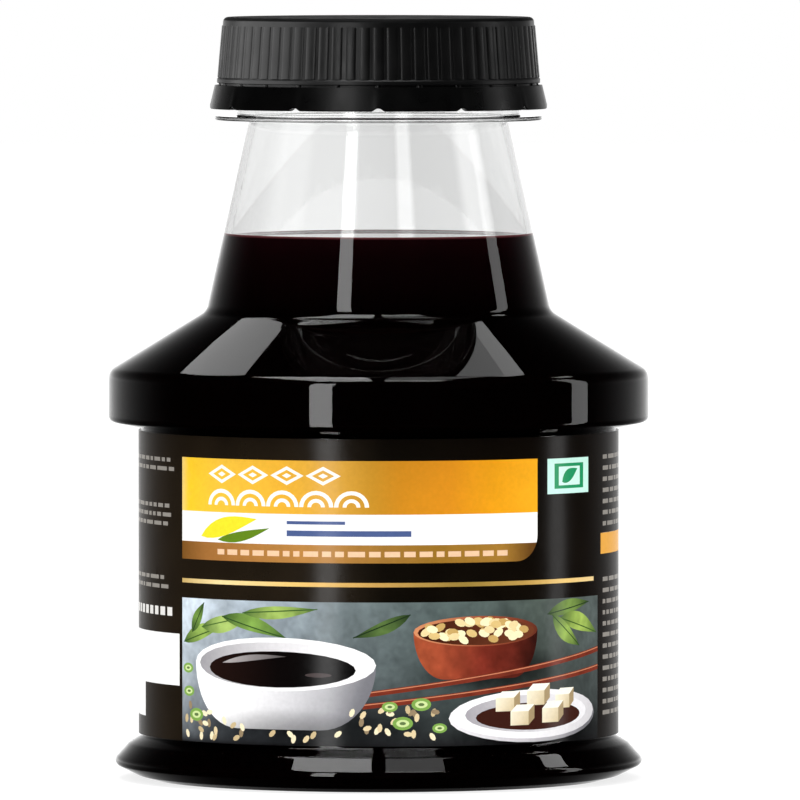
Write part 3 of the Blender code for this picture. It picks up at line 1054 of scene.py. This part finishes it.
def ring_of_ribs():
    """Geometry Nodes: one upright rib, round in section and tapered at its ends, repeated round Z."""
    tree, given, result = new_tree("upright ribs", "GeometryNodeTree", (
        ("Geometry", "Geometry"), ("Count", "Int"), ("Width", "Float"), ("Rise", "Float"),
        ("Low Point", "Vector"), ("High Point", "Vector"), ("Material", "Material"),
    ), (("Geometry", "Geometry"),))
    tree.is_modifier = True
    spine = add_node(tree, "GeometryNodeCurvePrimitiveLine")
    cut = add_node(tree, "GeometryNodeResampleCurve", {"Count": RIB_STEPS})
    share = add_node(tree, "GeometryNodeSplineParameter")
    taper = add_node(tree, "ShaderNodeFloatCurve")
    thin = add_node(tree, "GeometryNodeSetCurveRadius")
    section = add_node(tree, "GeometryNodeCurvePrimitiveCircle", {"Resolution": RIB_SIDES, "Radius": 0.5})
    squeezed = add_node(tree, "GeometryNodeTransform")
    section_size = add_node(tree, "ShaderNodeCombineXYZ", {"Z": 1.0})
    swept = add_node(tree, "GeometryNodeCurveToMesh", {"Fill Caps": True})
    spots = add_node(tree, "GeometryNodePoints")
    number = add_node(tree, "GeometryNodeInputIndex")
    step = maths(tree, "DIVIDE", {0: math.tau})
    angle = maths(tree, "MULTIPLY")
    turn = add_node(tree, "ShaderNodeCombineXYZ")
    placed = add_node(tree, "GeometryNodeInstanceOnPoints")
    real = add_node(tree, "GeometryNodeRealizeInstances")
    coloured = add_node(tree, "GeometryNodeSetMaterial")
    curve = taper.mapping.curves[0]
    curve.points[0].location, curve.points[1].location = (0.0, RIB_END_SIZE), (1.0, RIB_END_SIZE)
    for at in (RIB_TAPER, 1 - RIB_TAPER):
        curve.points.new(at, 1.0)
    taper.mapping.update()
    wire(
        tree, (given, "Low Point", spine, "Start"), (given, "High Point", spine, "End"),
        (spine, "Curve", cut, "Curve"), (cut, "Curve", thin, "Curve"),
        (share, "Factor", taper, "Value"), (taper, 0, thin, "Radius"),
        (given, "Width", section_size, "X"), (given, "Rise", section_size, "Y"),
        (section, "Curve", squeezed, "Geometry"), (section_size, 0, squeezed, "Scale"),
        (thin, "Curve", swept, "Curve"), (squeezed, "Geometry", swept, "Profile Curve"),
        (given, "Count", spots, "Count"), (given, "Count", step, 1),
        (number, 0, angle, 0), (step, 0, angle, 1), (angle, 0, turn, "Z"),
        (spots, 0, placed, "Points"), (swept, "Mesh", placed, "Instance"), (turn, 0, placed, "Rotation"),
        (placed, "Instances", real, "Geometry"), (real, "Geometry", coloured, "Geometry"),
        (given, "Material", coloured, "Material"), (coloured, "Geometry", result, "Geometry"),
    )
    return tree


def repeated_round(name, tree, finish, count, width, rise, ends):
    """A plain mesh from the rib tree, with its sizes and both ends (r, z) in millimetres."""
    low, high = [(r * MM, 0, z * MM) for r, z in ends]
    carrier = new_object(name, bpy.data.meshes.new(name))
    modifier = carrier.modifiers.new("ribs", "NODES")
    modifier.node_group = tree
    values = {
        "Count": count, "Width": width * MM, "Rise": rise * MM, "Material": finish,
        "Low Point": low, "High Point": high,
    }
    for socket in tree.interface.items_tree:
        if socket.in_out == "INPUT" and socket.name in values:
            modifier[socket.identifier] = values[socket.name]
    return made_plain(carrier)


def mould_band(finish):
    """The tamper band, its lower edge lifted at each notch."""
    high = CAP_RIM_Z - SLIT_HEIGHT
    outline = rounded([
        (BAND_TOP_R - BAND_THICK, high, BAND_BORE_FILLET),
        (BAND_LOW_R - BAND_THICK, BAND_LOW_Z, BAND_BORE_FILLET),
        (BAND_LOW_R, BAND_LOW_Z, BAND_FILLET),
        (BAND_TOP_R, high, BAND_FILLET),
    ])

    def notched(r, z, angle):
        pitch = math.tau / NOTCH_COUNT
        away = abs((angle + pitch / 2) % pitch - pitch / 2)
        depth = max(0.0, 1 - (math.degrees(away) / NOTCH_HALF_DEG) ** 2)
        share = max(0.0, 1 - (z - BAND_LOW_Z) / (high - BAND_LOW_Z))
        return r, z + NOTCH_HEIGHT * depth * share ** 2

    return new_piece("tamper_band", turned(outline, CAP_SIDES * 2, is_loop=True, shape=notched), [finish])


cap_satin = cap_plastic("cap_plastic", (0.30, 0.42))
cap = mould_cap(cap_satin, cap_plastic("cap_top_plastic", (0.45, 0.6), specular=0.08))
ribs_tree = ring_of_ribs()
rib_ends = [(skirt_radius(z) - RIB_RISE, z) for z in (RIB_LOW_Z, RIB_HIGH_Z)]
ribs = repeated_round("cap_ribs", ribs_tree, cap_satin, RIB_COUNT, RIB_WIDTH, RIB_RISE * 2, rib_ends)
# Painted shade: the band gets the cap's plastic in a darker tone
band = mould_band(cap_plastic("band_plastic_painted_shade", (0.26, 0.36), specular=0.4, tone=BAND_SHADE_TONE))
bridge_ends = [(BRIDGE_R, CAP_RIM_Z - SLIT_HEIGHT - BRIDGE_SINK), (BRIDGE_R, CAP_RIM_Z + BRIDGE_SINK)]
bridges = repeated_round(
    "band_bridges", ribs_tree, cap_satin, BRIDGE_COUNT, BRIDGE_WIDTH, BRIDGE_RISE, bridge_ends,
)
for piece in (cap, ribs, band, bridges):
    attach(piece, "root")
    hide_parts("screw_cap")

# The studio: a pale floor, a white surround, a tall strip light at each side, and level soft boxes
# above and behind. The outside of a piece mirrors these lights and a dim glow straight behind it. The
# soft box beside the cap lights nothing but the cap, its ribs and its bridges.
FLOOR_R = 4.0
FLOOR_GREY = 0.3
FLOOR_GLOW = 0.8
CAMERA_AWAY = 2.045
CAMERA_HIGH = 0.134
CAMERA_ASIDE = 0.003
AIM_HIGH = 0.0529
CAMERA_LENS = 658.0
BOTTLE_MIDDLE = Vector((0.0, 0.0, 0.053))
POWER_PER_AREA = 4.0
OVERHEAD = 1.2
WIDE_GLOW_POWER = 3.0
WIDE_GLOW = 0.6
NARROW_GLOW_POWER = 12.0
NARROW_GLOW = 0.9
LEVEL_GLOW_POWER = 4.5


def lay_floor():
    builder = bmesh.new()
    bmesh.ops.create_circle(builder, cap_ends=True, segments=96, radius=FLOOR_R)
    mesh = bpy.data.meshes.new("floor")
    builder.to_mesh(mesh)
    builder.free()
    mesh.materials.append(new_finish("pale_floor", {
        "Base Color": (FLOOR_GREY, FLOOR_GREY, FLOOR_GREY, 1), "Roughness": 0.9,
        "Specular IOR Level": 0.0, "Emission Color": (1, 1, 1, 1), "Emission Strength": FLOOR_GLOW,
    })[0])
    floor = new_object("floor", mesh)
    floor.visible_glossy = False


def towards(azimuth, elevation):
    """The direction to a place round the bottle; azimuth 0 is the front, 90 the right."""
    a, e = math.radians(azimuth), math.radians(elevation)
    return Vector((math.sin(a) * math.cos(e), -math.cos(a) * math.cos(e), math.sin(e)))


def new_light(name, width, height, brightness):
    """A soft box that the camera doesn't see, as bright to the eye whatever its size."""
    light = bpy.data.lights.new(name, "AREA")
    light.shape = "RECTANGLE"
    light.size, light.size_y = width, height
    light.energy = brightness * width * height * POWER_PER_AREA
    lamp = new_object(name, light)
    lamp.visible_camera = False
    return lamp


def hang_round(name, azimuth, elevation, away, width, height, brightness):
    """A soft box that faces the bottle from a direction."""
    lamp = new_light(name, width, height, brightness)
    way = towards(azimuth, elevation)
    lamp.location = BOTTLE_MIDDLE + way * away
    lamp.rotation_euler = way.to_track_quat("Z", "Y").to_euler()
    return lamp


def hang_above(name, low, high, brightness):
    """A level soft box over the bottle, between two corners given as slopes (x / z, y / z)."""
    lamp = new_light(name, (high[0] - low[0]) * OVERHEAD, (high[1] - low[1]) * OVERHEAD, brightness)
    lamp.location = BOTTLE_MIDDLE + Vector(((low[0] + high[0]) / 2, (low[1] + high[1]) / 2, 1)) * OVERHEAD
    # Through clear plastic the eye sees the white surround, and not this lamp
    lamp.visible_transmission = False
    return lamp


def light_studio():
    hang_round("strip_left", -24, 4, 0.95, 0.16, 1.1, 2.9)
    hang_round("strip_right", 94, 4, 0.95, 0.165, 1.1, 1.2)
    hang_above("above_left", (-0.42, -0.60), (-0.035, 0.40), 2.7)
    hang_above("above_right", (0.035, -0.30), (0.32, 0.40), 0.7)
    hang_above("before_right", (0.035, -0.60), (0.40, -0.30), 1.9)
    hang_above("behind_left", (-0.53, 0.69), (-0.27, 1.25), 1.1)
    hang_above("behind_right", (0.138, 0.48), (0.325, 0.90), 0.65)
    hang_above("behind_right_edge", (0.325, 0.48), (0.38, 0.90), 1.0)
    hang_above("far_right", (0.78, 0.38), (0.98, 0.62), 1.6)
    cap_light = hang_round("beside_cap", -92, 6, 0.7, 1.0, 1.1, 1.35)
    lit = bpy.data.collections.new("cap_pieces")
    for piece in (cap, ribs, bridges):
        lit.objects.link(piece)
    cap_light.light_linking.receiver_collection = lit


def surround():
    """White to the eye and through the bottle; what the outside mirrors is a glow straight behind it."""
    world = bpy.data.worlds.new("studio")
    world.use_nodes = True
    bpy.context.scene.world = world
    tree = world.node_tree
    background = tree.nodes["Background"]
    background.inputs["Color"].default_value = (1, 1, 1, 1)
    rays = add_node(tree, "ShaderNodeLightPath")
    place = add_node(tree, "ShaderNodeTexCoord")
    axes = add_node(tree, "ShaderNodeSeparateXYZ")
    behind = maths(tree, "MAXIMUM", {1: 0.0})
    wide = maths(tree, "POWER", {1: WIDE_GLOW_POWER})
    narrow = maths(tree, "POWER", {1: NARROW_GLOW_POWER})
    wide_part = maths(tree, "MULTIPLY", {1: WIDE_GLOW})
    glow = maths(tree, "MULTIPLY_ADD", {1: NARROW_GLOW})
    high = maths(tree, "ABSOLUTE")
    level = maths(tree, "SUBTRACT", {0: 1.0})
    steep = maths(tree, "POWER", {1: LEVEL_GLOW_POWER})
    low_glow = maths(tree, "MULTIPLY")
    outside = maths(tree, "LESS_THAN", {1: 0.5})
    mirrored = maths(tree, "MULTIPLY")
    seen = add_node(tree, "ShaderNodeMix", {"A": 1.0})
    wire(
        tree, (place, "Generated", axes, 0), (axes, "Y", behind, 0), (behind, 0, wide, 0),
        (behind, 0, narrow, 0), (wide, 0, wide_part, 0), (narrow, 0, glow, 0), (wide_part, 0, glow, 2),
        (axes, "Z", high, 0), (high, 0, level, 1), (level, 0, steep, 0), (glow, 0, low_glow, 0),
        (steep, 0, low_glow, 1), (rays, "Transmission Depth", outside, 0), (outside, 0, mirrored, 0),
        (rays, "Is Glossy Ray", mirrored, 1), (mirrored, 0, seen, "Factor"), (low_glow, 0, seen, "B"),
        (seen, 0, background, "Strength"),
    )


def set_camera():
    data = bpy.data.cameras.new("camera")
    data.lens = CAMERA_LENS
    data.sensor_width = 36.0
    data.clip_start, data.clip_end = 0.05, 50.0
    camera = new_object("camera", data)
    camera.location = (CAMERA_ASIDE, -CAMERA_AWAY, CAMERA_HIGH)
    way = Vector((CAMERA_ASIDE, 0, AIM_HIGH)) - camera.location
    camera.rotation_euler = way.to_track_quat("-Z", "Y").to_euler()
    bpy.context.scene.camera = camera


lay_floor()
light_studio()
surround()
set_camera()
bpy.context.scene.view_settings.view_transform = "Standard"
